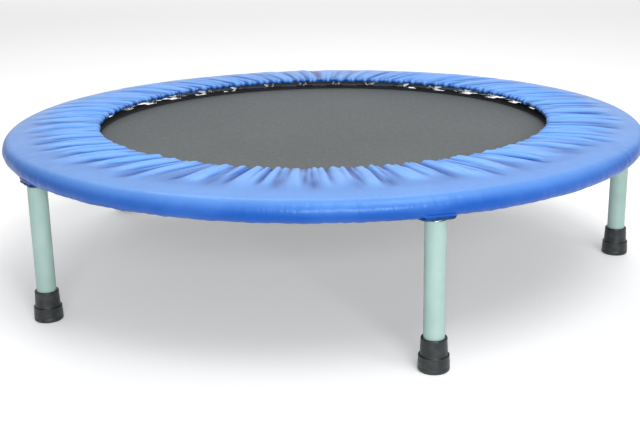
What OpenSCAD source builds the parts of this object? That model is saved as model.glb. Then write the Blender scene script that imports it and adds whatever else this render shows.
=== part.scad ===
// Mini trampoline (rebounder): a round tubular frame on five screw-in legs,
// a woven mat hung from forty coil springs, and a padded vinyl spring cover.
// Millimetres, +Z up. The origin is on the floor under the middle of the mat.

/* [Frame] */
// Outer diameter of the frame ring
frame_d = 914.4; // [880:0.2:960]
// Diameter of the frame and leg tubes
tube_d = 25.4; // [24:0.1:26]
// Wall thickness of the frame and leg tubes
tube_wall = 1.2; // [1:0.1:1.6]
// Height of the frame ring's centreline above the floor
ring_z = 200; // [180:1:240]

/* [Mat] */
// Diameter of the jumping mat, with the webbing round its edge
mat_d = 700; // [690:1:706]
// Thickness of the woven mat
mat_t = 1.2; // [0.8:0.1:1.6]
// Height of the mat's middle above the frame ring's centreline
mat_rise = 1; // [0:0.5:2]
// Width of the sewn webbing round the mat's edge
hem_w = 20; // [16:1:24]

/* [Springs] */
// Number of springs round the mat
spring_count = 40; // [20:4:40]
// Angle of the first spring from the first leg, in degrees
spring_turn = -2; // [-4:0.5:4]
// Outer diameter of a spring's coil
coil_d = 13; // [10:0.5:14]
// Diameter of the spring wire
wire_d = 2.2; // [1.8:0.1:2.4]
// Diameter of the V-ring wire
vring_wire_d = 3; // [2.4:0.1:3.2]

/* [Pad] */
// Diameter of the pad's opening
opening_d = 658; // [650:1:664]
// Thickness of the vinyl cover
cover_t = 1.2; // [0.8:0.1:1.4]

/* [Legs] */
// Length of thread that sticks out of the frame at each leg
stud_len = 24; // [22:1:30]
// Height of a rubber foot
foot_h = 41; // [36:1:46]
// Diameter of a rubber foot at the floor
foot_d = 38.4; // [36:0.2:42]

/* [Hidden] */
$fn = 48;

leg_count = 5;
tube_r = tube_d / 2;
ring_r = frame_d / 2 - tube_r;         // radius of the frame's centreline
skin = 0.05;                           // gap between fitted pieces

// Leg joint, from the ring down
boss_r = 12;
boss_bottom = ring_z - tube_r - 2.7;
washer_t = 1.2;
washer_r = 11;
stud_r = 4.95;                         // M10 thread, as a plain pin
plug_bore_r = 5;
plug_len = 25;
leg_top = boss_bottom - washer_t;
foot_floor = 6;                        // rubber under the end of the leg tube
groove_w = 1.6;                        // ring grooves in the sole
groove_depth = 1.5;

// Mat and what is sewn to it
mat_r = mat_d / 2;
mat_z = ring_z + mat_rise;             // middle of the mat
hem_t = 1.1;
tab_w = 30;                            // webbing loop that holds a V-ring
tab_out = 8.4;
tab_t = 4.6;
tunnel = vring_wire_d + 0.2;
bar_x = mat_r + 5.5;                   // V-ring: bar in the loop, apex outward
bar_half = 22;
apex_x = bar_x + 16;
vwire_r = vring_wire_d / 2;

// Spring, along +X before it is turned to its place
wire_r = wire_d / 2;
coil_r = coil_d / 2;
loop_r = 5;                            // hook round the V-ring's apex
loop_x = apex_x - 0.5;
coil_x = loop_x + loop_r + 5.6;
tip_x = ring_r - 8.9;                  // bent end, inside the frame tube
tip_drop = 6;
coil_end = ring_r - tube_r - 13;
hole_r = 3.4;                          // hook holes in the frame's inner wall

// Pad section, as radius and height
lip_r = 2.75;                          // rolled inner edge
lip_x = opening_d / 2 + lip_r;
lip_z = ring_z + 16.25;
wrap_r = tube_r + 2.8;                 // skirt's curve round the frame tube
wrap_x = ring_r + 3;
wrap_angle = 35;                       // how far the skirt's curve goes below level
bead_r = 2.4;                          // hem bead at the skirt's edge
bead_x = wrap_x + wrap_r * cos(wrap_angle) - 0.1;
bead_z = ring_z - wrap_r * sin(wrap_angle) - bead_r;
elastic_r = 1.3;
pad_outer_x = ring_r - 8.5;            // where foam and backing end, beside the tube
pad_low_z = ring_z + 10.3;             // underside over the springs
back_t = 1;

steel_green = [0.62, 0.72, 0.68];
frame_black = [0.09, 0.09, 0.10];
vinyl_blue = [0.22, 0.45, 0.85];
mat_grey = [0.40, 0.42, 0.42];
webbing_black = [0.10, 0.10, 0.11];
zinc = [0.78, 0.79, 0.80];
rubber_black = [0.08, 0.08, 0.08];
foam_white = [0.93, 0.93, 0.90];

// Children drawn about the Z axis, moved to leg number i
module to_leg(i) {
    rotate([0, 0, 360 * (i - 1) / leg_count])
        translate([0, -ring_r, 0]) children();
}

module at_each_leg() {
    for (i = [1 : leg_count]) to_leg(i) children();
}

// Children drawn along +X are repeated at every spring
module at_each_spring() {
    for (i = [0 : spring_count - 1])
        rotate([0, 0, -90 + spring_turn + 360 * i / spring_count]) children();
}

// Solid ring of round section about the Z axis
module round_ring(radius, z, section_r) {
    rotate_extrude($fn = 180)
        translate([radius, z]) circle(r = section_r);
}

// Cylinder of radius r from (x, z) along +X
module rod_x(x, len, r) {
    translate([x, 0, mat_z]) rotate([0, 90, 0]) cylinder(h = len, r = r);
}

// ---- frame ----

module frame_ring() {
    color(frame_black)
    difference() {
        round_ring(ring_r, ring_z, tube_r);
        round_ring(ring_r, ring_z, tube_r - tube_wall);
        at_each_spring() rod_x(ring_r - tube_r - 2, 8, hole_r);
    }
}

// Short welded collars that the legs butt against
module leg_bosses() {
    color(frame_black)
    difference() {
        at_each_leg()
            translate([0, 0, boss_bottom]) cylinder(h = tube_r, r = boss_r);
        round_ring(ring_r, ring_z, tube_r);
    }
}

module leg_studs() {
    color(zinc)
    at_each_leg()
        translate([0, 0, boss_bottom - stud_len]) {
            cylinder(h = 1, r1 = stud_r - 1, r2 = stud_r);
            translate([0, 0, 1]) cylinder(h = stud_len - 1, r = stud_r);
        }
}

// ---- mat ----

module jumping_mat() {
    color(mat_grey)
    translate([0, 0, mat_z - mat_t / 2]) cylinder(h = mat_t, r = mat_r, $fn = 180);
}

// Webbing sewn over and under the mat's edge
module mat_hem() {
    color(webbing_black)
    for (z = [mat_z + mat_t / 2, mat_z - mat_t / 2 - hem_t])
        translate([0, 0, z])
            difference() {
                cylinder(h = hem_t, r = mat_r, $fn = 180);
                translate([0, 0, -1]) cylinder(h = hem_t + 2, r = mat_r - hem_w, $fn = 180);
            }
}

// Webbing loops, each with a tunnel for a V-ring's bar
module v_ring_tabs() {
    color(webbing_black)
    difference() {
        at_each_spring()
            translate([mat_r - 4, -tab_w / 2, mat_z - tab_t / 2])
                cube([tab_out + 4, tab_w, tab_t]);
        translate([0, 0, mat_z - 10]) cylinder(h = 20, r = mat_r, $fn = 180);
        at_each_spring()
            translate([bar_x, 0, mat_z])
                cube([tunnel, tab_w + 2, tunnel], center = true);
    }
}

// Direction from point a to point b, as a unit vector
function toward(a, b) = (b - a) / norm(b - a);

// Half the angle between the two sides that meet at corner p
function half_corner(a, p, b) = acos(toward(p, a) * toward(p, b)) / 2;

// A corner moved out from the loop's inside by a distance d, square to both sides
function corner_out(a, p, b, d) =
    p - toward([0, 0], toward(p, a) + toward(p, b)) * d / sin(half_corner(a, p, b));

// Triangular outline through three corners, grown by a distance d
module grown_triangle(c, d) {
    polygon([for (k = [0 : 2]) corner_out(c[(k + 2) % 3], c[k], c[(k + 1) % 3], d)]);
}

module v_rings() {
    corners = [[bar_x, bar_half], [bar_x, -bar_half], [apex_x, 0]];
    color(zinc)
    at_each_spring()
        translate([0, 0, mat_z - vwire_r])
            linear_extrude(height = vring_wire_d)
                difference() {
                    grown_triangle(corners, vwire_r);
                    grown_triangle(corners, -vwire_r);
                }
}

// ---- springs ----

// Upright wire across the end of the coil, which carries the hook's shank
module coil_bar(x) {
    translate([x, 0, mat_z]) cylinder(h = 2 * coil_r - wire_d, r = wire_r, center = true);
}

module springs() {
    color(zinc)
    at_each_spring() {
        difference() {
            rod_x(coil_x, coil_end - coil_x, coil_r);
            rod_x(coil_x - 1, coil_end - coil_x + 2, coil_r - wire_d);
        }
        coil_bar(coil_x + wire_r);
        coil_bar(coil_end - wire_r);
        translate([loop_x, 0, mat_z]) rotate([90, 0, 0])
            rotate_extrude() translate([loop_r, 0]) circle(r = wire_r);
        rod_x(loop_x + loop_r, coil_x + wire_r - loop_x - loop_r, wire_r);
        rod_x(coil_end - wire_r, tip_x - coil_end + wire_r, wire_r);
        translate([tip_x, 0, mat_z]) sphere(r = wire_r);
        translate([tip_x, 0, mat_z - tip_drop]) cylinder(h = tip_drop, r = wire_r);
    }
}

// ---- pad ----

// Points on an arc about c, from angle first to angle last
function arc(c, r, first, last, steps) =
    [for (k = [0 : steps]) let (a = first + (last - first) * k / steps)
        c + r * [cos(a), sin(a)]];

// Section of a skin of thickness cover_t, between its outer line and the same line inset
module skin_ring(outer, inner) {
    last = len(inner) - 1;
    color(vinyl_blue)
    rotate_extrude($fn = 180)
        polygon(concat(outer, [for (k = [0 : last]) inner[last - k]]));
}

// Top panel's line at depth o, from under the rolled lip out to the shoulder
function top_line(o) =
    concat(arc([lip_x, lip_z], lip_r - o, 270, 90, 12), [[wrap_x, ring_z + wrap_r - o]]);

// Skirt's line at depth o, from the shoulder round the frame tube to the hem
function skirt_line(o) = arc([wrap_x, ring_z], wrap_r - o, 90, -wrap_angle, 16);

module pad_top() {
    skin_ring(top_line(0), top_line(cover_t));
}

module pad_skirt() {
    skin_ring(skirt_line(0), skirt_line(cover_t));
}

// Sewn tunnel along the skirt's lower edge
module skirt_hem() {
    color(vinyl_blue)
    difference() {
        round_ring(bead_x, bead_z, bead_r);
        round_ring(bead_x, bead_z, elastic_r + skin);
    }
}

// Height of the cover's inner face at radius x
function cover_under(x) =
    lip_z + lip_r - cover_t
    + (x - lip_x) * (ring_z + wrap_r - lip_z - lip_r) / (wrap_x - lip_x);

// Underside of the pad at its inner edge, over the springs and beside the tube
function pad_floor(lift) = [
    [lip_x, lip_z - lip_r + lift], [lip_x + 16, pad_low_z + lift],
    [pad_outer_x - 13, pad_low_z + lift], [pad_outer_x, pad_low_z + 2.4 + lift]
];

module pad_backing() {
    low = pad_floor(0);
    high = pad_floor(back_t);
    color(webbing_black)
    rotate_extrude($fn = 180)
        polygon(concat(low, [high[3], high[2], high[1], high[0]]));
}

module pad_foam() {
    start = lip_x + lip_r;
    low = pad_floor(back_t + skin);
    color(foam_white)
    rotate_extrude($fn = 180)
        polygon([
            [start, low[0].y], low[1], low[2], low[3],
            [low[3].x, cover_under(low[3].x) - skin], [start, cover_under(start) - skin]
        ]);
}

module inner_elastic() {
    color(webbing_black)
    round_ring(lip_x, lip_z, elastic_r);
}

module hem_elastic() {
    color(webbing_black)
    round_ring(bead_x, bead_z, elastic_r);
}

// ---- legs ----

module leg_tube(i) {
    color(steel_green)
    to_leg(i)
        translate([0, 0, foot_floor])
            difference() {
                cylinder(h = leg_top - foot_floor, r = tube_r);
                translate([0, 0, -1])
                    cylinder(h = leg_top - foot_floor + 2, r = tube_r - tube_wall);
            }
}

// Threaded plug pressed into the top of the leg tube
module leg_plug(i) {
    color(zinc)
    to_leg(i)
        translate([0, 0, leg_top - plug_len])
            difference() {
                cylinder(h = plug_len, r = tube_r - tube_wall - skin / 2);
                translate([0, 0, -1]) cylinder(h = plug_len + 2, r = plug_bore_r);
            }
}

module leg_washer(i) {
    color(zinc)
    to_leg(i)
        translate([0, 0, leg_top])
            difference() {
                cylinder(h = washer_t, r = washer_r);
                translate([0, 0, -1]) cylinder(h = washer_t + 2, r = plug_bore_r);
            }
}

// Rubber tip: a tapered sleeve over a wider, stepped base
module foot(i) {
    base_r = foot_d / 2;
    step_z = 0.5 * foot_h;
    bore_r = tube_r + skin;
    color(rubber_black)
    to_leg(i)
        difference() {
            rotate_extrude($fn = 72)
                polygon([
                    [0, 0], [base_r - 1, 0], [base_r, 1.5], [base_r - 0.8, step_z - 1],
                    [base_r - 1.6, step_z], [base_r - 3, step_z + 1],
                    [tube_r + 2.2, foot_h - 1], [tube_r + 1.6, foot_h], [0, foot_h]
                ]);
            translate([0, 0, foot_floor]) cylinder(h = foot_h, r = bore_r);
            for (r = [6, 12])
                translate([0, 0, -1])
                    difference() {
                        cylinder(h = 1 + groove_depth, r = r + groove_w / 2);
                        translate([0, 0, -1]) cylinder(h = 4 + groove_depth, r = r - groove_w / 2);
                    }
        }
}

frame_ring();
leg_bosses();
leg_studs();
jumping_mat();
mat_hem();
v_ring_tabs();
v_rings();
springs();
pad_top();
pad_skirt();
skirt_hem();
pad_foam();
pad_backing();
inner_elastic();
hem_elastic();
leg_tube(1);  // leg_tube_1
leg_tube(2);  // leg_tube_2
leg_tube(3);  // leg_tube_3
leg_tube(4);  // leg_tube_4
leg_tube(5);  // leg_tube_5
leg_plug(1);  // leg_plug_1
leg_plug(2);  // leg_plug_2
leg_plug(3);  // leg_plug_3
leg_plug(4);  // leg_plug_4
leg_plug(5);  // leg_plug_5
leg_washer(1);  // leg_washer_1
leg_washer(2);  // leg_washer_2
leg_washer(3);  // leg_washer_3
leg_washer(4);  // leg_washer_4
leg_washer(5);  // leg_washer_5
foot(1);  // foot_1
foot(2);  // foot_2
foot(3);  // foot_3
foot(4);  // foot_4
foot(5);  // foot_5
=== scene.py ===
import math

import bpy
import numpy as np
from mathutils import Matrix, Vector


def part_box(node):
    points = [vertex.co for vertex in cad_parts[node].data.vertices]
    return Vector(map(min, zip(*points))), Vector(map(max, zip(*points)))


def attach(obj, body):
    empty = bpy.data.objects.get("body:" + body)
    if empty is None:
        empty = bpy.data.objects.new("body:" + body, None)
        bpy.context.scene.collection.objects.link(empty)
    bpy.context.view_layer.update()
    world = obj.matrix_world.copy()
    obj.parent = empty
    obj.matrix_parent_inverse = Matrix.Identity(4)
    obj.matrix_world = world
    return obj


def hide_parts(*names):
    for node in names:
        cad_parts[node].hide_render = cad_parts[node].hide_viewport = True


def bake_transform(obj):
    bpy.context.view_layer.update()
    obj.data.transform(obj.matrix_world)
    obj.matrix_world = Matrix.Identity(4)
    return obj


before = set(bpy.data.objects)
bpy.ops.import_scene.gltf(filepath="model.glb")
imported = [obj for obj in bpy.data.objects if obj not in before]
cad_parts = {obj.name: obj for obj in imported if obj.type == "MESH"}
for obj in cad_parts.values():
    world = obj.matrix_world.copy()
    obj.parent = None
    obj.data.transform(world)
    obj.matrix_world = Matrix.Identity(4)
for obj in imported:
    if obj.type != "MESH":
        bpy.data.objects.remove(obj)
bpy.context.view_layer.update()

# ---------------------------------------------------------------- sizes, in metres

MM = 0.001
TURN = 2 * math.pi


def reach(node):
    """Least and greatest distance of a CAD node's vertices from the Z axis."""
    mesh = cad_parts[node].data
    co = np.empty(3 * len(mesh.vertices))
    mesh.vertices.foreach_get("co", co)
    span = np.hypot(co[0::3], co[1::3])
    return float(span.min()), float(span.max())


def middle(node):
    """Centre of a CAD node's box."""
    low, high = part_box(node)
    return (low + high) / 2


LEG_COUNT = 5
LEG_TURNS = [-TURN / 4 + TURN * k / LEG_COUNT for k in range(LEG_COUNT)]
SPRING_COUNT = 40
SPRING_TURNS = [math.radians(-92) + TURN * k / SPRING_COUNT for k in range(SPRING_COUNT)]

ring_low, ring_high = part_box("frame_ring")
TUBE_R = (ring_high.z - ring_low.z) / 2
RING_Z = (ring_high.z + ring_low.z) / 2
RING_R = reach("frame_ring")[1] - TUBE_R

PAD_IN = reach("pad_top")[0]
PAD_OUT = reach("pad_skirt")[1]
PAD_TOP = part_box("pad_top")[1].z
LIP_R = 2.75 * MM
LIP_AT = (PAD_IN + LIP_R, PAD_TOP - LIP_R)
WRAP_R = TUBE_R + 2.8 * MM
WRAP_AT = (PAD_OUT - WRAP_R, RING_Z)
PAD_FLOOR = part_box("pad_backing")[0].z

MAT_R = reach("jumping_mat")[1]
MAT_LOW, MAT_TOP = (c.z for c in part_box("jumping_mat"))
MAT_Z = (MAT_LOW + MAT_TOP) / 2
HEM_IN = reach("mat_hem")[0]
HEM_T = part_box("mat_hem")[1].z - MAT_TOP

# ---------------------------------------------------------------- mesh making


def add_piece(name, verts, faces, material, body, uv=None, smooth=True):
    """A mesh piece that rides on a CAD body. uv, if given, has one (u, v) pair for each vertex."""
    mesh = bpy.data.meshes.new(name)
    sizes = np.array([len(face) for face in faces])
    corners = np.fromiter((v for face in faces for v in face), int, sizes.sum())
    points = np.asarray(verts, float).reshape(-1, 3)
    mesh.vertices.add(len(points))
    mesh.vertices.foreach_set("co", points.ravel())
    mesh.loops.add(len(corners))
    mesh.loops.foreach_set("vertex_index", corners)
    mesh.polygons.add(len(sizes))
    mesh.polygons.foreach_set("loop_start", np.cumsum(sizes) - sizes)
    mesh.update(calc_edges=True)
    mesh.materials.append(material)
    mesh.polygons.foreach_set("use_smooth", [smooth] * len(mesh.polygons))
    if uv is not None:
        corner = np.empty(len(mesh.loops), int)
        mesh.loops.foreach_get("vertex_index", corner)
        mesh.uv_layers.new(name="cloth").data.foreach_set("uv", np.asarray(uv)[corner].ravel())
    mesh.validate()
    piece = bpy.data.objects.new(name, mesh)
    bpy.context.scene.collection.objects.link(piece)
    if body is not None:
        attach(piece, body)
    return piece


def grid_quads(rows, cols, wrap_rows=False, wrap_cols=True):
    """Faces of a grid of vertices stored row by row."""
    i, j = np.meshgrid(
        np.arange(rows if wrap_rows else rows - 1),
        np.arange(cols if wrap_cols else cols - 1),
        indexing="ij",
    )
    down, right = (i + 1) % rows, (j + 1) % cols
    corners = [i * cols + j, i * cols + right, down * cols + right, down * cols + j]
    return np.stack(corners, -1).reshape(-1, 4)


def around(radius, height, theta):
    """Points at radius and height, each (rows, columns), at the columns' angles theta."""
    return np.stack([radius * np.cos(theta), radius * np.sin(theta), height + 0 * theta], -1)


def sweep(path, radius, sides, closed=False):
    """Vertices and faces of a round wire along a path, without twist. Open ends are capped."""
    path = np.asarray(path, float)
    count = len(path)
    if closed:
        ahead = np.roll(path, -1, 0) - np.roll(path, 1, 0)
    else:
        ahead = np.gradient(path, axis=0)
    ahead /= np.linalg.norm(ahead, axis=1)[:, None]
    side = np.cross(ahead[0], (0, 0, 1) if abs(ahead[0][2]) < 0.9 else (1, 0, 0))
    sides_at = np.empty_like(path)
    for k in range(count):
        side = side - ahead[k] * (side @ ahead[k])
        side /= np.linalg.norm(side)
        sides_at[k] = side
    other = np.cross(ahead, sides_at)
    turn = TURN * np.arange(sides) / sides
    radius = np.broadcast_to(radius, count)[:, None, None]
    ring = np.cos(turn)[:, None] * sides_at[:, None] + np.sin(turn)[:, None] * other[:, None]
    verts = (path[:, None] + radius * ring).reshape(-1, 3)
    faces = grid_quads(count, sides, wrap_rows=closed).tolist()
    if not closed:
        faces.append(list(range(sides))[::-1])
        faces.append(list(range((count - 1) * sides, count * sides)))
    return verts, faces


def spun(points, turn):
    """Points turned about the Z axis."""
    c, s = math.cos(turn), math.sin(turn)
    return np.asarray(points) @ np.array([[c, s, 0], [-s, c, 0], [0, 0, 1]])


def joined(parts):
    """One (vertices, faces) from several."""
    verts, faces, start = [], [], 0
    for v, f in parts:
        verts.append(v)
        faces.extend([[i + start for i in face] for face in f])
        start += len(v)
    return np.concatenate(verts), faces


def smoothstep(x, low, high):
    t = np.clip((x - low) / (high - low), 0, 1)
    return t * t * (3 - 2 * t)


def ripple(theta, waves, seed):
    """Smooth noise round a circle, about -1 to 1, made of whole waves in the range given."""
    local = np.random.default_rng(seed)
    low, high = waves
    total = 0
    counts = local.integers(low, high, 9)
    for n in counts:
        total = total + np.cos(n * theta + local.uniform(0, TURN))
    return total / 4.5


# ---------------------------------------------------------------- materials


class Shader:
    """A node material built in a few lines: a Principled shader, and what feeds it."""

    def __init__(self, name, colour, roughness, metallic=0.0, **constants):
        self.material = bpy.data.materials.new(name)
        self.material.use_nodes = True
        self.tree = self.material.node_tree
        self.shader = self.tree.nodes["Principled BSDF"]
        self.shader.inputs["Base Color"].default_value = (*colour, 1)
        self.shader.inputs["Roughness"].default_value = roughness
        self.shader.inputs["Metallic"].default_value = metallic
        for socket, value in constants.items():
            self.shader.inputs[socket.replace("_", " ")].default_value = value
        self.material.diffuse_color = (*colour, 1)

    def node(self, kind, inputs=(), **settings):
        made = self.tree.nodes.new(kind)
        for key, value in settings.items():
            setattr(made, key, value)
        for key, value in dict(inputs).items():
            socket = made.inputs[key]
            if isinstance(value, bpy.types.NodeSocket):
                self.tree.links.new(value, socket)
            else:
                socket.default_value = value
        return made

    def math(self, operation, a, b=0.0):
        return self.node("ShaderNodeMath", {0: a, 1: b}, operation=operation).outputs[0]

    def place(self):
        """The point in the object's own metres."""
        return self.node("ShaderNodeTexCoord").outputs["Object"]

    def noise(self, scale, detail=3.0, where=None, rough=0.5):
        where = self.place() if where is None else where
        inputs = {"Vector": where, "Scale": scale, "Detail": detail, "Roughness": rough}
        return self.node("ShaderNodeTexNoise", inputs).outputs["Fac"]

    def ramp(self, value, low, high, out_low, out_high):
        inputs = {"Value": value, "From Min": low, "From Max": high, "To Min": out_low, "To Max": out_high}
        return self.node("ShaderNodeMapRange", inputs).outputs["Result"]

    def mix(self, factor, first, second):
        made = self.node("ShaderNodeMix", {"Factor": factor}, data_type="RGBA")
        # the node's two colour sockets
        for socket, colour in ((6, first), (7, second)):
            value = made.inputs[socket]
            if isinstance(colour, bpy.types.NodeSocket):
                self.tree.links.new(colour, value)
            else:
                value.default_value = (*colour, 1)
        return made.outputs[2]

    def feed(self, socket, value):
        self.tree.links.new(value, self.shader.inputs[socket])

    def bump(self, height, depth, strength=1.0, under=None):
        """Bump of a depth in metres, over another bump if one is given."""
        inputs = {"Height": height, "Distance": depth, "Strength": strength}
        if under is not None:
            inputs["Normal"] = under
        return self.node("ShaderNodeBump", inputs).outputs["Normal"]


def vinyl(name, dark, light):
    """Soft gloss vinyl, from dark to light with the piece's painted light and shade and a random mottle,
    with a fine pebble grain, and faint creases drawn out along its fold_place."""
    s = Shader(name, dark, 0.4, Specular_IOR_Level=0.45, Specular_Tint=(0.5, 0.9, 1, 1))
    # base colour from dark to light by the piece's painted light and shade, plus a random mottle
    painted_light_and_shade = s.node("ShaderNodeAttribute", attribute_name="painted_light_and_shade").outputs["Fac"]
    mottle = s.ramp(s.noise(9.0, 4), 0.35, 0.65, -0.06, 0.06)
    s.feed("Base Color", s.mix(s.math("ADD", painted_light_and_shade, mottle), dark, light))
    s.feed("Roughness", s.ramp(s.noise(55.0, 3), 0.3, 0.7, 0.31, 0.40))
    fold = s.node("ShaderNodeAttribute", attribute_name="fold_place").outputs["Vector"]
    drawn = s.node("ShaderNodeVectorMath", {0: fold, 1: (1, 1, 0.2)}, operation="MULTIPLY").outputs[0]
    coarse = s.bump(s.noise(130.0, 2.5, drawn), 2.4 * MM, 0.6)
    grain = s.node("ShaderNodeTexVoronoi", {"Vector": s.place(), "Scale": 900.0}).outputs["Distance"]
    s.feed("Normal", s.bump(grain, 0.12 * MM, 0.3, coarse))
    return s.material


def mat_weave():
    """Plain weave of flat polypropylene tapes, about 1.3 mm apart."""
    s = Shader("mat_weave", (0.07, 0.083, 0.086), 0.62, Specular_IOR_Level=0.35, Sheen_Weight=0.1)
    split = s.node("ShaderNodeSeparateXYZ", {0: s.place()})
    pitch = TURN / (2.6 * MM)
    warp = s.math("SINE", s.math("MULTIPLY", split.outputs[0], pitch))
    weft = s.math("SINE", s.math("MULTIPLY", split.outputs[1], pitch))
    over = s.math("MULTIPLY", warp, weft)
    tape = s.math("ABSOLUTE", over)
    fibre = s.noise(240.0, 3)
    tone = s.math("ADD", s.ramp(over, -1, 1, 0.0, 0.35), s.ramp(s.noise(4.0, 4), 0.35, 0.65, 0.2, 0.65))
    s.feed("Base Color", s.mix(tone, (0.047, 0.058, 0.060), (0.078, 0.093, 0.097)))
    s.feed("Roughness", s.ramp(fibre, 0.3, 0.7, 0.55, 0.72))
    weave = s.bump(s.math("ADD", over, s.math("MULTIPLY", tape, 0.6)), 0.16 * MM, 0.7)
    s.feed("Normal", s.bump(fibre, 0.1 * MM, 0.3, weave))
    return s.material


def webbing(name, dark, light, pitch=1.6 * MM):
    """Woven strap: ribs across it and chevrons along it, from the piece's own cloth coordinates."""
    s = Shader(name, dark, 0.75, Specular_IOR_Level=0.2, Sheen_Weight=0.05)
    cloth = s.node("ShaderNodeUVMap", uv_map="cloth").outputs[0]
    split = s.node("ShaderNodeSeparateXYZ", {0: cloth})
    along, across = split.outputs[0], split.outputs[1]
    zigzag = s.math("PINGPONG", across, 2 * pitch)
    rib = s.math("SINE", s.math("MULTIPLY", s.math("ADD", along, zigzag), TURN / pitch))
    rows = s.math("SINE", s.math("MULTIPLY", across, TURN / (1.5 * pitch)))
    high = s.math("ADD", rib, s.math("MULTIPLY", rows, 0.5))
    s.feed("Base Color", s.mix(s.ramp(high, -1.5, 1.5, 0, 1), dark, light))
    s.feed("Normal", s.bump(high, 0.15 * MM, 0.6))
    return s.material


def zinc():
    """Bright zinc-plated steel wire with slight blotches."""
    s = Shader("zinc", (0.78, 0.79, 0.80), 0.27, 1.0)
    blotch = s.noise(160.0, 4)
    s.feed("Base Color", s.mix(s.ramp(blotch, 0.35, 0.7, 0, 1), (0.82, 0.83, 0.84), (0.62, 0.63, 0.64)))
    s.feed("Roughness", s.ramp(s.noise(300.0, 3), 0.3, 0.7, 0.2, 0.38))
    return s.material


def powder_coat(name, dark, light):
    """Powder coat: a fine orange peel and a satin shine."""
    s = Shader(name, dark, 0.36, Specular_IOR_Level=0.5)
    s.feed("Base Color", s.mix(s.ramp(s.noise(30.0, 4), 0.35, 0.65, 0, 1), dark, light))
    s.feed("Roughness", s.ramp(s.noise(120.0, 3), 0.3, 0.7, 0.3, 0.44))
    s.feed("Normal", s.bump(s.noise(1100.0, 2), 0.06 * MM, 0.35))
    return s.material


def foot_rubber():
    """Matt black moulded rubber with a little bloom."""
    s = Shader("foot_rubber", (0.018, 0.019, 0.021), 0.5, Specular_IOR_Level=0.45)
    bloom = s.noise(90.0, 5)
    s.feed("Base Color", s.mix(s.ramp(bloom, 0.45, 0.75, 0, 1), (0.011, 0.014, 0.015), (0.034, 0.039, 0.041)))
    s.feed("Roughness", s.ramp(bloom, 0.3, 0.7, 0.30, 0.50))
    s.feed("Normal", s.bump(s.noise(700.0, 3), 0.1 * MM, 0.4))
    return s.material


def backing_cloth():
    """Dark coated cloth of the pad's underside."""
    s = Shader("pad_backing", (0.02, 0.03, 0.075), 0.55, Specular_IOR_Level=0.35)
    split = s.node("ShaderNodeSeparateXYZ", {0: s.place()})
    thread = TURN / (1.4 * MM)
    warp = s.math("SINE", s.math("MULTIPLY", split.outputs[0], thread))
    weft = s.math("SINE", s.math("MULTIPLY", split.outputs[1], thread))
    weave = s.math("MULTIPLY", warp, weft)
    tone = s.ramp(s.noise(25.0, 4), 0.35, 0.65, 0, 1)
    s.feed("Base Color", s.mix(tone, (0.018, 0.027, 0.070), (0.028, 0.040, 0.095)))
    s.feed("Normal", s.bump(weave, 0.1 * MM, 0.4))
    return s.material


def foam_skin():
    """Off-white closed-cell foam."""
    s = Shader("foam", (0.80, 0.79, 0.74), 0.85)
    cell = s.node("ShaderNodeTexVoronoi", {"Vector": s.place(), "Scale": 700.0}).outputs["Distance"]
    s.feed("Base Color", s.mix(s.ramp(cell, 0, 0.8, 0, 1), (0.70, 0.69, 0.64), (0.86, 0.85, 0.81)))
    s.feed("Normal", s.bump(cell, 0.3 * MM, 0.5))
    return s.material


def elastic_braid():
    """Black braided elastic."""
    s = Shader("elastic", (0.02, 0.02, 0.024), 0.75, Sheen_Weight=0.2)
    braid = s.node("ShaderNodeTexVoronoi", {"Vector": s.place(), "Scale": 800.0}).outputs["Distance"]
    s.feed("Base Color", s.mix(s.ramp(braid, 0, 0.8, 0, 1), (0.012, 0.012, 0.015), (0.04, 0.04, 0.046)))
    s.feed("Normal", s.bump(braid, 0.3 * MM, 0.6))
    return s.material


def studio_floor():
    """Plain pale floor with the faintest mottle."""
    s = Shader("studio_floor", (0.93, 0.93, 0.93), 0.75, Emission_Strength=0.22)
    s.feed("Base Color", s.mix(s.noise(1.5, 2), (0.92, 0.92, 0.92), (0.95, 0.95, 0.95)))
    return s.material


# the cover's darkest painted shade and palest painted highlight
VINYL = vinyl("pad_vinyl", (0.0005, 0.062, 0.36), (0.170, 0.395, 0.90))
# the hem roll: the cover's own vinyl painted darker, painted shade along the skirt's bottom edge
HEM_SHADE_VINYL = vinyl("pad_hem_painted_shade", (0.003, 0.022, 0.11), (0.006, 0.040, 0.16))
WEAVE = mat_weave()
WEBBING = webbing("black_webbing", (0.003, 0.004, 0.007), (0.012, 0.013, 0.018))
THREAD = webbing("thread", (0.04, 0.04, 0.042), (0.08, 0.08, 0.084), 0.5 * MM)
ZINC = zinc()
# near-black frame paint: painted shade, so the ring under the pad's far edge and the leg bosses read dark
FRAME_PAINTED_SHADE = powder_coat("frame_paint", (0.012, 0.012, 0.014), (0.020, 0.020, 0.022))
LEG_PAINT = powder_coat("leg_paint", (0.275, 0.405, 0.37), (0.310, 0.450, 0.415))
RUBBER = foot_rubber()
BACKING = backing_cloth()
FOAM = foam_skin()
ELASTIC = elastic_braid()

# ---------------------------------------------------------------- pad

COLUMNS = 2600
THETA = TURN * np.arange(COLUMNS) / COLUMNS

CAMERA_TURN = math.radians(-16.28)
FRONT = CAMERA_TURN - TURN / 4

# The gathers in the top, in mm: how many, half the height of a fold, the way out from the inner
# edge over which they rise, and the shares of the creased width over which they die away
GATHERS = [
    dict(count=188, high=1.45, rise=(-14, -6), fade=(0.25, 0.95), seed=31),
    dict(count=92, high=2.3, rise=(-12, 6), fade=(0.55, 1.10), seed=32),
    dict(count=53, high=1.9, rise=(4, 30), fade=(0.80, 1.2), seed=33),
]


def lean_at(theta):
    """How far a crease moves along the edge as it runs out. The cover is drawn slightly oval."""
    return 0.36 * np.sin(2 * (theta - FRONT)) + 0.12 * ripple(theta, (3, 9), 21)


def turned_back(out):
    """Angles followed back along the creases to the inner edge, (rows, columns)."""
    return THETA[None] - lean_at(THETA)[None] * out[:, None] / (PAD_IN + out[:, None])


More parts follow.
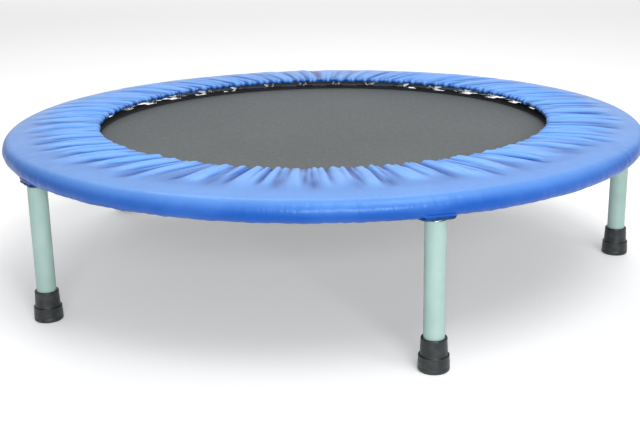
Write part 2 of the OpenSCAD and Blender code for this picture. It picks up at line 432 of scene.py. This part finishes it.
def crease_height(out):
    """Height of the pad's creases, (rows, columns), for rows at a distance out from the inner edge."""
    out_mm = out[:, None] / MM
    theta = turned_back(np.maximum(out, 0))
    # the creases run furthest at the back and sides
    width = 80 + 30 * np.sin((theta - FRONT) / 2) ** 2 + 8 * ripple(theta, (4, 30), 22)
    total = 0
    for kind in GATHERS:
        count, seed = kind["count"], kind["seed"]
        phase = count * theta + 1.5 * ripple(theta, (count // 8, count // 2), seed)
        phase = phase + 0.012 * out_mm * ripple(theta, (6, 40), seed + 10)
        # round ridges, narrower valleys, and one side of each fold steeper
        phase = phase + 0.45 * np.sin(phase)
        fold = 2 * np.abs(np.sin(phase / 2)) ** 1.3 - 1
        size = np.clip(0.75 + 0.55 * ripple(theta, (count // 5, count), seed + 20), 0.1, 1.6)
        rise = smoothstep(out_mm, *kind["rise"])
        fade = 1 - smoothstep(out_mm, kind["fade"][0] * width, kind["fade"][1] * width)
        total = total + kind["high"] * size * rise * fade * fold
    return total * MM


def near_leg(theta, full, none):
    """1 within full degrees of a leg, 0 beyond none degrees."""
    apart = np.min([np.abs((theta - t + math.pi) % TURN - math.pi) for t in LEG_TURNS], 0)
    return 1 - smoothstep(np.degrees(apart), full, none)


LIP_ROWS, TOP_ROWS, WRAP_ROWS = 10, 60, 30
SKIN_T = 0.9 * MM
BACKING_T = 0.5 * MM
BACKING_ROWS = 30


def pad_surface(inset=0.0):
    """The pad's outer face as grids of radius and height, or a face that far inside it,
    with each row's distance out from the inner edge, and its painted light and shade: how much paler or
    darker the vinyl is painted.
    Rows run from under the rolled inner edge over the top and down the skirt to its hem."""
    lip = np.radians(np.linspace(285, 95, LIP_ROWS))
    share = np.linspace(0, 1, TOP_ROWS) ** 1.3
    wrap = np.radians(np.linspace(75, -116, WRAP_ROWS))
    shoulder_r = WRAP_AT[0] + WRAP_R * math.cos(math.radians(77))
    shoulder_z = RING_Z + WRAP_R * math.sin(math.radians(77))
    top = LIP_AT[0] + (shoulder_r - LIP_AT[0]) * share
    # the skirt hugs the tube more closely the further it goes under
    hug = WRAP_R - 2.1 * MM * smoothstep(-np.degrees(wrap), 0, 70) - inset
    lip_r = LIP_R - inset
    top_z = PAD_TOP + 0.5 * MM * np.sin(math.pi * share) - (PAD_TOP - shoulder_z) * share**3.6 - inset
    radius = np.concatenate([LIP_AT[0] + lip_r * np.cos(lip), top, WRAP_AT[0] + hug * np.cos(wrap)])
    height = np.concatenate([LIP_AT[1] + lip_r * np.sin(lip), top_z, RING_Z + hug * np.sin(wrap)])
    out_r = np.concatenate([np.cos(lip), 0 * top, np.cos(wrap)])
    out_z = np.concatenate([np.sin(lip), 0 * top + 1, np.sin(wrap)])
    past = top[-1] - LIP_AT[0] + WRAP_R * (wrap[0] - wrap)
    out = np.concatenate([0 * lip, top - LIP_AT[0], past])
    down = np.concatenate([0 * lip - 90, 0 * top - 90, -np.degrees(wrap)])

    creases = crease_height(out)
    lift = creases * np.concatenate([np.linspace(0.15, 0.8, LIP_ROWS), 0 * top + 1, 0 * wrap + 1])[:, None]
    # slow waves in the skirt, and tight ones where its elastic draws it under the tube
    lift += 0.35 * MM * smoothstep(down, -60, 10)[:, None] * ripple(THETA, (16, 60), 3)[None]
    lift += 0.8 * MM * smoothstep(down, 30, 116)[:, None] * ripple(THETA, (90, 190), 4)[None]
    # the elastic edge wanders in and out with its gathers
    edge = np.concatenate([np.ones(LIP_ROWS), np.exp(-(((top - LIP_AT[0]) / (6 * MM)) ** 2)), 0 * wrap])
    wander = 0.6 * MM * ripple(THETA, (60, 170), 6) - 0.25 * creases[LIP_ROWS]
    r = radius[:, None] + out_r[:, None] * lift + edge[:, None] * wander[None]
    z = height[:, None] + out_z[:, None] * lift
    # at a leg the hem hangs just outside it
    hang = smoothstep(down, 15, 60)[:, None] * near_leg(THETA, 1.9, 3.6)[None]
    fall = np.clip((down - 15) / 100, 0, 1)[:, None]
    hang_r = PAD_OUT - inset - 3.6 * MM * fall
    hang_z = RING_Z - 4.0 * MM - 8.6 * MM * fall
    # painted light and shade in the vinyl's colour: painted highlight on the ridges, the outer top and the
    # top of the skirt, and painted shade in the valleys, on the lip's rolled side and down the skirt
    # painted shade on the lip's rolled side
    side = 0.5 * smoothstep(np.degrees(lip), 130, 200)
    skirt = down[-WRAP_ROWS:]
    # painted highlight over the outer top
    outer_top_painted_highlight = -0.40 * smoothstep(share, 0.5, 0.9)
    # painted highlight at the top of the skirt, painted shade lower down
    skirt_painted_light_and_shade = 0.70 * smoothstep(skirt, -78, 12) - 0.40
    shade = np.concatenate([side, outer_top_painted_highlight, skirt_painted_light_and_shade])
    # painted shade in the crease valleys, painted highlight on the ridges
    painted_light_and_shade = 0.30 + creases / (3.2 * MM) - shade[:, None]
    return r + hang * (hang_r - r), z + hang * (hang_z - z), out, np.clip(painted_light_and_shade, 0, 1)


def closed_sheet(top_r, top_z, low_r, low_z):
    """Vertices and faces of a ring-shaped sheet with two faces, joined along both edges."""
    rows = len(top_r)
    r = np.concatenate([top_r, low_r[::-1]])
    z = np.concatenate([top_z, low_z[::-1]])
    verts = around(r, z, THETA[None])
    return verts.reshape(-1, 3), grid_quads(2 * rows, COLUMNS, wrap_rows=True)[:, ::-1]


def make_pad():
    r, z, out, painted_light_and_shade = pad_surface()
    inner_r, inner_z, _, _ = pad_surface(SKIN_T)
    cover = add_piece("pad_cover_vinyl", *closed_sheet(r, z, inner_r, inner_z), VINYL, "frame")
    place = around(PAD_IN + 0 * out[:, None], out[:, None], turned_back(out))
    place = np.concatenate([place, place[::-1]])
    cover.data.attributes.new("fold_place", "FLOAT_VECTOR", "POINT").data.foreach_set("vector", place.ravel())
    # the painted light and shade, for the outer and the inner face
    painted_light_and_shade = np.concatenate([painted_light_and_shade, painted_light_and_shade[::-1]])
    cover.data.attributes.new("painted_light_and_shade", "FLOAT", "POINT").data.foreach_set("value", painted_light_and_shade.ravel())
    # the vinyl's knitted back shows on its inner face
    cover.data.materials.append(BACKING)
    row = np.arange(len(cover.data.polygons)) // COLUMNS
    cover.data.polygons.foreach_set("material_index", (row >= len(r)).astype(int))
    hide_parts("pad_top", "pad_skirt")

    # sewn tunnel along the hem
    hem_r, hem_z = r[-1] - 0.4 * MM, z[-1]
    gathered = 2.0 * MM * (1 + 0.10 * ripple(THETA, (150, 330), 8))
    path = np.stack([hem_r * np.cos(THETA), hem_r * np.sin(THETA), hem_z], -1)
    # the hem roll's colour is painted shade
    hem = add_piece("skirt_hem_roll", *sweep(path, gathered, 10, closed=True), HEM_SHADE_VINYL, "frame")
    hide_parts("skirt_hem", "hem_elastic")

    # backing sheet, over the springs
    knots_r = np.array([LIP_AT[0] + 1 * MM, LIP_AT[0] + 16 * MM, RING_R - 21.5 * MM, RING_R - 8.6 * MM])
    knots_z = np.array([PAD_TOP - 5.4 * MM, PAD_FLOOR + 0.4 * MM, PAD_FLOOR + 0.4 * MM, PAD_FLOOR + 2.9 * MM])
    rows = np.linspace(knots_r[0], knots_r[-1], BACKING_ROWS)
    flat = np.interp(rows, knots_r, knots_z)
    loose = np.sin(math.pi * np.linspace(0, 1, BACKING_ROWS)) ** 0.6
    waves = 0.55 * ripple(THETA, (40, 120), 9) + 0.3 * ripple(THETA, (120, 300), 10)
    back_z = flat[:, None] + MM * loose[:, None] * waves[None]
    back_r = rows[:, None] + 0 * back_z
    verts, faces = closed_sheet(back_r, back_z + BACKING_T, back_r, back_z)
    backing = add_piece("pad_underside", verts, faces, BACKING, "frame")
    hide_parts("pad_backing")

    # foam between the two
    first, last = LIP_ROWS + 2, LIP_ROWS + int(0.9 * TOP_ROWS)
    top_r, top_z, _, _ = pad_surface(SKIN_T + 0.5 * MM)
    top_r, top_z = top_r[first:last], top_z[first:last]
    low_z = np.interp(top_r, rows, flat) + BACKING_T + 1.2 * MM
    verts, faces = closed_sheet(top_r, np.maximum(top_z, low_z + 0.6 * MM), top_r, low_z)
    foam = add_piece("pad_foam_ring", verts, faces, FOAM, "frame")
    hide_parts("pad_foam")
    return cover


# ---------------------------------------------------------------- mat

MAT_COLUMNS = 960
MAT_THETA = TURN * np.arange(MAT_COLUMNS) / MAT_COLUMNS
HEM_RIPPLE = 0.12 * MM


def scallop(radius, theta):
    """The mat's pull towards its loops at a radius: outward at a V-ring, inward between two."""
    share = np.clip((radius / MAT_R - 0.88) / 0.12, 0, 1) ** 2
    return 1.1 * MM * share * np.cos(SPRING_COUNT * (theta - SPRING_TURNS[0]))


def mat_band(rows, heights):
    """Vertices and cloth coordinates of a ring of the mat, from its rows of radius and height."""
    r = np.asarray(rows)[:, None]
    r = r + scallop(r, MAT_THETA[None])
    z = np.asarray(heights)[:, None] + 0 * r
    z = z + HEM_RIPPLE * np.clip((r / MAT_R - 0.9) / 0.1, 0, 1) * np.cos(
        2 * SPRING_COUNT * (MAT_THETA[None] - SPRING_TURNS[0])
    )
    verts = around(r, z, MAT_THETA[None]).reshape(-1, 3)
    uv = np.stack([MAT_R * MAT_THETA[None] + 0 * r, r], -1).reshape(-1, 2)
    return verts, uv


def make_mat():
    rows = MAT_R * np.linspace(0, 1, 56)[1:] ** 0.9
    verts, _ = mat_band(rows, 0 * rows + MAT_TOP)
    under, _ = mat_band(rows[::-1], 0 * rows + MAT_LOW)
    count = len(rows) * 2
    verts = np.concatenate([verts, under, [[0, 0, MAT_TOP], [0, 0, MAT_LOW]]])
    faces = grid_quads(count, MAT_COLUMNS).tolist()
    hub, low_hub = len(verts) - 2, len(verts) - 1
    last = (count - 1) * MAT_COLUMNS
    for k in range(MAT_COLUMNS):
        after = (k + 1) % MAT_COLUMNS
        faces.append([hub, after, k])
        faces.append([low_hub, last + k, last + after])
    mat = add_piece("mat_cloth", verts, [f[::-1] for f in faces], WEAVE, "mat")
    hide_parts("jumping_mat")

    # webbing over and under the edge
    edge = 0.35 * MM
    band_r = np.array([HEM_IN, HEM_IN, HEM_IN + edge, HEM_IN + 6 * MM, HEM_IN + 12 * MM,
                       HEM_IN + 18 * MM, MAT_R - edge, MAT_R + 0.3 * MM, MAT_R + 0.3 * MM])
    band_z = np.array([0.02 * MM, HEM_T - edge, HEM_T, HEM_T + 0.12 * MM, HEM_T + 0.05 * MM,
                       HEM_T + 0.12 * MM, HEM_T, HEM_T - edge, 0.02 * MM])
    parts, coords = [], []
    for base, way in ((MAT_TOP, 1), (MAT_LOW, -1)):
        verts, uv = mat_band(band_r, base + way * band_z)
        faces = grid_quads(len(band_r), MAT_COLUMNS, wrap_rows=True)
        parts.append((verts, faces[:, ::way * -1]))
        coords.append(uv)
    verts, faces = joined(parts)
    hem = add_piece("mat_edge_webbing", verts, faces, WEBBING, "mat", np.concatenate(coords))
    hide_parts("mat_hem")

    stitches = make_stitches()
    loops = make_loops()


def make_stitches():
    """Rows of thread through the edge webbing, over and under."""
    length, gap, thread = 3.4 * MM, 1.3 * MM, 0.38 * MM
    parts = []
    for row in (HEM_IN + 2.6 * MM, HEM_IN + 12 * MM, MAT_R - 2.8 * MM):
        count = int(TURN * row / (length + gap))
        for top, way in ((MAT_TOP, 1), (MAT_LOW, -1)):
            for k in range(count):
                mid = TURN * k / count
                swing = np.linspace(-0.5, 0.5, 5) * length / row
                rise = np.array([-0.3, 0.25, 0.42, 0.25, -0.3]) * MM
                r = row + scallop(row, mid)
                z = top + way * (HEM_T + rise)
                path = np.stack([r * np.cos(mid + swing), r * np.sin(mid + swing), z], -1)
                parts.append(sweep(path, thread, 5))
    verts, faces = joined(parts)
    uv = verts[:, :2]
    stitches = add_piece("hem_stitching", verts, faces, THREAD, "mat", uv)
    return stitches


WIRE_R = (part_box("v_rings")[1].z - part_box("v_rings")[0].z) / 2
BAR_AT = MAT_R + 5.5 * MM
BAR_HALF = 22 * MM
APEX_AT = reach("v_rings")[1] - 1.85 * MM
LOOP_WIDE = 30 * MM


def make_loops():
    """Webbing loops that hold the V-rings' bars."""
    strap = 1.0 * MM
    mid_r = WIRE_R + 0.15 * MM + strap / 2
    turn = np.radians(np.linspace(90, -90, 13))
    start = MAT_R - 0.5 * MM
    lead = np.linspace(start, BAR_AT, 5)[:-1]
    lead_high = np.interp(lead, [start, BAR_AT], [1.6 * MM, mid_r])
    x = np.concatenate([lead, BAR_AT + mid_r * np.cos(turn), lead[::-1]])
    z = np.concatenate([lead_high, mid_r * np.sin(turn), -lead_high[::-1]])
    nx, nz = np.gradient(z), -np.gradient(x)
    scale = np.hypot(nx, nz)
    nx, nz = -nx / scale, -nz / scale
    along = np.concatenate([[0], np.cumsum(np.hypot(np.diff(x), np.diff(z)))])
    across = np.linspace(-0.5, 0.5, 9)
    # outer then inner face, with the strap's edges drawn in slightly
    parts, coords = [], []
    for turn_to in SPRING_TURNS:
        grids = []
        for side in (0.5, -0.5):
            px = x + side * strap * nx
            pz = z + side * strap * nz
            wide = LOOP_WIDE * across[None] * (1 - 0.012 * np.sin(along / along[-1] * math.pi))[:, None]
            grid = np.stack([px[:, None] + 0 * wide, wide, MAT_Z + pz[:, None] + 0 * wide], -1)
            grids.append(grid)
        rows, cols = grids[0].shape[:2]
        shell = np.concatenate([grids[0], grids[1][::-1]])
        faces = grid_quads(2 * rows, cols, wrap_rows=True, wrap_cols=False).tolist()
        for col in (0, cols - 1):
            for k in range(rows - 1):
                quad = [k * cols + col, (k + 1) * cols + col,
                        (2 * rows - 2 - k) * cols + col, (2 * rows - 1 - k) * cols + col]
                faces.append(quad if col == 0 else quad[::-1])
        parts.append((spun(shell.reshape(-1, 3), turn_to), faces))
        v = np.concatenate([along, along[::-1]])[:, None] + 0 * across[None]
        u = LOOP_WIDE * across[None] + 0 * v
        coords.append(np.stack([v, u], -1).reshape(-1, 2))
    verts, faces = joined(parts)
    loops = add_piece("v_ring_loops", verts, faces, WEBBING, "mat", np.concatenate(coords))
    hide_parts("v_ring_tabs")
    return loops


def rounded(corners, bend, steps=7):
    """A closed path round three or more corners, each bent to a radius."""
    path = []
    count = len(corners)
    for k in range(count):
        p = np.array(corners[k], float)
        a = np.array(corners[k - 1], float) - p
        b = np.array(corners[(k + 1) % count], float) - p
        a, b = a / np.linalg.norm(a), b / np.linalg.norm(b)
        half = math.acos(a @ b) / 2
        centre = p + (a + b) / np.linalg.norm(a + b) * bend / math.sin(half)
        start = p + a * bend / math.tan(half) - centre
        sweep_by = math.pi - 2 * half
        way = 1 if a[0] * b[1] - a[1] * b[0] < 0 else -1
        for s in np.linspace(0, sweep_by, steps) * way:
            c, n = math.cos(s), math.sin(s)
            path.append(centre + np.array([c * start[0] - n * start[1], n * start[0] + c * start[1]]))
    return np.array(path)


def make_v_rings():
    bend = 4 * MM
    side_turn = math.atan2(BAR_HALF, APEX_AT - BAR_AT)
    point = APEX_AT + bend / math.sin(side_turn) - bend
    flat = rounded([(BAR_AT, BAR_HALF), (BAR_AT, -BAR_HALF), (point, 0)], bend)
    path = np.concatenate([flat, np.full((len(flat), 1), MAT_Z)], 1)
    wire = sweep(path, WIRE_R, 10, closed=True)
    parts = [(spun(wire[0], turn), wire[1]) for turn in SPRING_TURNS]
    rings = add_piece("v_ring_wires", *joined(parts), ZINC, "mat")
    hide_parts("v_rings")


# ---------------------------------------------------------------- springs

SPRING_WIRE = 1.1 * MM
COIL_R = (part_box("springs")[1].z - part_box("springs")[0].z) / 2 - SPRING_WIRE
HOOK_R = 5 * MM
HOOK_AT = APEX_AT - WIRE_R - SPRING_WIRE + HOOK_R
COIL_FROM = HOOK_AT + HOOK_R + 6 * MM
COIL_TO = RING_R - TUBE_R - 14 * MM
TIP_AT = RING_R - 8.9 * MM
COIL_TURNS = 15
TURN_POINTS = 14


def spring_path():
    """Centreline of one spring along +X: hook, coil, and bent end inside the frame tube."""
    hook = np.radians(np.linspace(52, 340, 22))
    points = [(HOOK_AT + HOOK_R * math.cos(a), 0, HOOK_R * math.sin(a)) for a in hook]
    coil_turns = COIL_TURNS * TURN
    total = COIL_TURNS * TURN_POINTS
    settle = 0.5 * TURN
    lead_in = np.linspace(0, 1, 8)[1:]
    for t in lead_in:
        x = HOOK_AT + HOOK_R + t * (COIL_FROM - HOOK_AT - HOOK_R)
        angle = -TURN / 4 - settle * (1 - t)
        size = COIL_R * smoothstep(t, 0, 1)
        points.append((x, size * math.cos(angle), size * math.sin(angle)))
    for k in range(1, total + 1):
        t = k / total
        angle = -TURN / 4 + coil_turns * t
        x = COIL_FROM + (COIL_TO - COIL_FROM) * t
        points.append((x, COIL_R * math.cos(angle), COIL_R * math.sin(angle)))
    for t in lead_in:
        angle = -TURN / 4 + settle * t
        size = COIL_R * (1 - smoothstep(t, 0, 1))
        points.append((COIL_TO + 4 * MM * t, size * math.cos(angle), size * math.sin(angle)))
    bend = 2.4 * MM
    points.append((TIP_AT - bend - 4 * MM, 0, 0))
    for a in np.radians(np.linspace(90, 0, 6)):
        points.append((TIP_AT - bend + bend * math.cos(a), 0, bend * (math.sin(a) - 1)))
    points.append((TIP_AT, 0, -6 * MM))
    return np.array(points) + [0, 0, MAT_Z]


def make_springs():
    """One piece for each spring, which stretches between the frame and its V-ring."""
    verts, faces = sweep(spring_path(), SPRING_WIRE, 6)
    for k, turn in enumerate(SPRING_TURNS, 1):
        spring = add_piece(f"spring_{k:02d}", spun(verts, turn), faces, ZINC, None)
        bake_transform(spring)
        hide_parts("springs")


# ---------------------------------------------------------------- legs and feet


def make_feet():
    """Moulded rubber tips: a sleeve on a wider, ledged base."""
    for k in range(1, LEG_COUNT + 1):
        low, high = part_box(f"foot_{k}")
        base, tall = (high.x - low.x) / 2, high.z - low.z
        bore = TUBE_R + 0.05 * MM
        floor = 6 * MM
        # share of the base's radius and height in mm, from the middle of the sole up the outside
        top_mm, ledge_mm = tall / MM, 0.47 * tall / MM
        profile = [
            (0.0, 0.4), (0.10, 0.4), (0.50, 0.4), (0.53, 1.6), (0.60, 1.6), (0.63, 0.0),
            (0.86, 0.0), (0.93, 0.3), (0.972, 1.2), (0.99, 2.8), (0.986, 5.4), (0.972, 5.9),
            (0.972, 6.6), (0.984, 7.1), (0.970, 12.0), (0.955, ledge_mm - 3.0), (0.952, ledge_mm - 1.2),
            (0.962, ledge_mm - 0.5), (0.955, ledge_mm), (0.925, ledge_mm + 0.2),
            (0.885, ledge_mm - 0.2), (0.862, ledge_mm + 0.1), (0.852, ledge_mm + 1.0),
            (0.835, top_mm - 11.0), (0.815, top_mm - 5.0), (0.818, top_mm - 2.6),
            (0.812, top_mm - 1.0), (0.795, top_mm - 0.2), (0.765, top_mm),
        ]
        rows = [(share * base, z * MM) for share, z in profile]
        rows += [(bore + 0.6 * MM, tall - 0.05 * MM), (bore, tall - 0.8 * MM), (bore, floor + 1 * MM),
                 (bore, floor), (0.0, floor)]
        cols = 64
        theta = TURN * np.arange(cols) / cols
        r = np.array([p[0] for p in rows[1:-1]])[:, None] + 0 * theta[None]
        z = np.array([p[1] for p in rows[1:-1]])[:, None] + 0 * theta[None]
        verts = around(r, z, theta[None]).reshape(-1, 3)
        verts = np.concatenate([verts, [[0, 0, rows[0][1]], [0, 0, rows[-1][1]]]])
        faces = grid_quads(len(r), cols).tolist()
        hub, top_hub, last = len(verts) - 2, len(verts) - 1, (len(r) - 1) * cols
        for c in range(cols):
            after = (c + 1) % cols
            faces.append([hub, after, c])
            faces.append([top_hub, last + c, last + after])
        at = middle(f"foot_{k}")
        verts[:, :2] += (at.x, at.y)
        foot = add_piece(f"foot_tip_{k}", verts, faces, RUBBER, f"leg_{k}")
        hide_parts(f"foot_{k}")


def finish_cad_nodes():
    """The CAD nodes that stay get their materials."""
    # the frame ring and leg bosses take the near-black painted shade
    coats = {"frame_ring": FRAME_PAINTED_SHADE, "leg_bosses": FRAME_PAINTED_SHADE, "leg_studs": ZINC,
             "inner_elastic": ELASTIC}
    for k in range(1, LEG_COUNT + 1):
        coats[f"leg_tube_{k}"] = LEG_PAINT
        coats[f"leg_plug_{k}"] = ZINC
        coats[f"leg_washer_{k}"] = ZINC
    for name, coat in coats.items():
        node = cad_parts[name]
        node.data.materials.clear()
        node.data.materials.append(coat)


# ---------------------------------------------------------------- camera, light and floor

# Distances in metres, angles in radians, lens in mm
CAMERA_BACK = 1.574
CAMERA_HIGH = 0.531
CAMERA_PITCH = 0.2853
CAMERA_YAW = -0.0042
CAMERA_ROLL = -0.0170
CAMERA_LENS = 60.2


def make_camera():
    data = bpy.data.cameras.new("camera")
    data.sensor_width = 36
    data.lens = CAMERA_LENS
    data.clip_start = 0.01
    data.clip_end = 50
    camera = bpy.data.objects.new("camera", data)
    bpy.context.scene.collection.objects.link(camera)
    tilt = math.cos(CAMERA_PITCH)
    ahead = Vector((math.sin(CAMERA_YAW) * tilt, math.cos(CAMERA_YAW) * tilt, -math.sin(CAMERA_PITCH)))
    right = Vector((math.cos(CAMERA_YAW), -math.sin(CAMERA_YAW), 0))
    up = right.cross(ahead)
    rolled_right = math.cos(CAMERA_ROLL) * right + math.sin(CAMERA_ROLL) * up
    rolled_up = math.cos(CAMERA_ROLL) * up - math.sin(CAMERA_ROLL) * right
    axes = Matrix((rolled_right, rolled_up, -ahead)).transposed().to_4x4()
    axes.translation = (0, -CAMERA_BACK, CAMERA_HIGH)
    camera.matrix_world = Matrix.Rotation(CAMERA_TURN, 4, "Z") @ axes
    bpy.context.scene.camera = camera


# Turn about Z from the camera and height in degrees, distance and size in metres, power in watts
LIGHTS = [
    dict(name="key", turn=30, high=60, away=2.8, size=(1.5, 1.5), power=34),
    dict(name="overhead", turn=190, high=56, away=3.0, size=(2.8, 1.3), power=32),
    dict(name="front_strip", turn=8, high=16, away=3.2, size=(1.7, 0.6), power=62),
    dict(name="back_wall", turn=180, high=16, away=5.0, size=(8.0, 3.0), power=50),
]
WORLD_STRENGTH = 0.30
FLOOR_HALF = 12.0


def add_light(name, turn, high, away, size, power):
    """A soft rectangle of light aimed at the mat, placed by its turn about Z from the camera."""
    data = bpy.data.lights.new(name, "AREA")
    data.shape = "RECTANGLE"
    data.size, data.size_y = size
    data.energy = power
    light = bpy.data.objects.new(name, data)
    a = CAMERA_TURN + math.radians(turn)
    e = math.radians(high)
    way = Vector((math.sin(a) * math.cos(e), -math.cos(a) * math.cos(e), math.sin(e)))
    light.location = way * away + Vector((0, 0, RING_Z))
    light.rotation_mode = "QUATERNION"
    light.rotation_quaternion = way.to_track_quat("Z", "Y")
    bpy.context.scene.collection.objects.link(light)


def make_studio():
    corners = [(FLOOR_HALF * x, FLOOR_HALF * y, 0) for x, y in ((-1, -1), (1, -1), (1, 1), (-1, 1))]
    floor = add_piece("studio_floor", corners, [(0, 1, 2, 3)], studio_floor(), None)
    world = bpy.data.worlds.new("studio")
    world.use_nodes = True
    world.node_tree.nodes["Background"].inputs["Color"].default_value = (1, 1, 1, 1)
    world.node_tree.nodes["Background"].inputs["Strength"].default_value = WORLD_STRENGTH
    bpy.context.scene.world = world
    for light in LIGHTS:
        add_light(**light)
    bpy.context.scene.view_settings.view_transform = "Standard"


make_camera()
make_pad()
make_mat()
make_v_rings()
make_springs()
make_feet()
finish_cad_nodes()
make_studio()
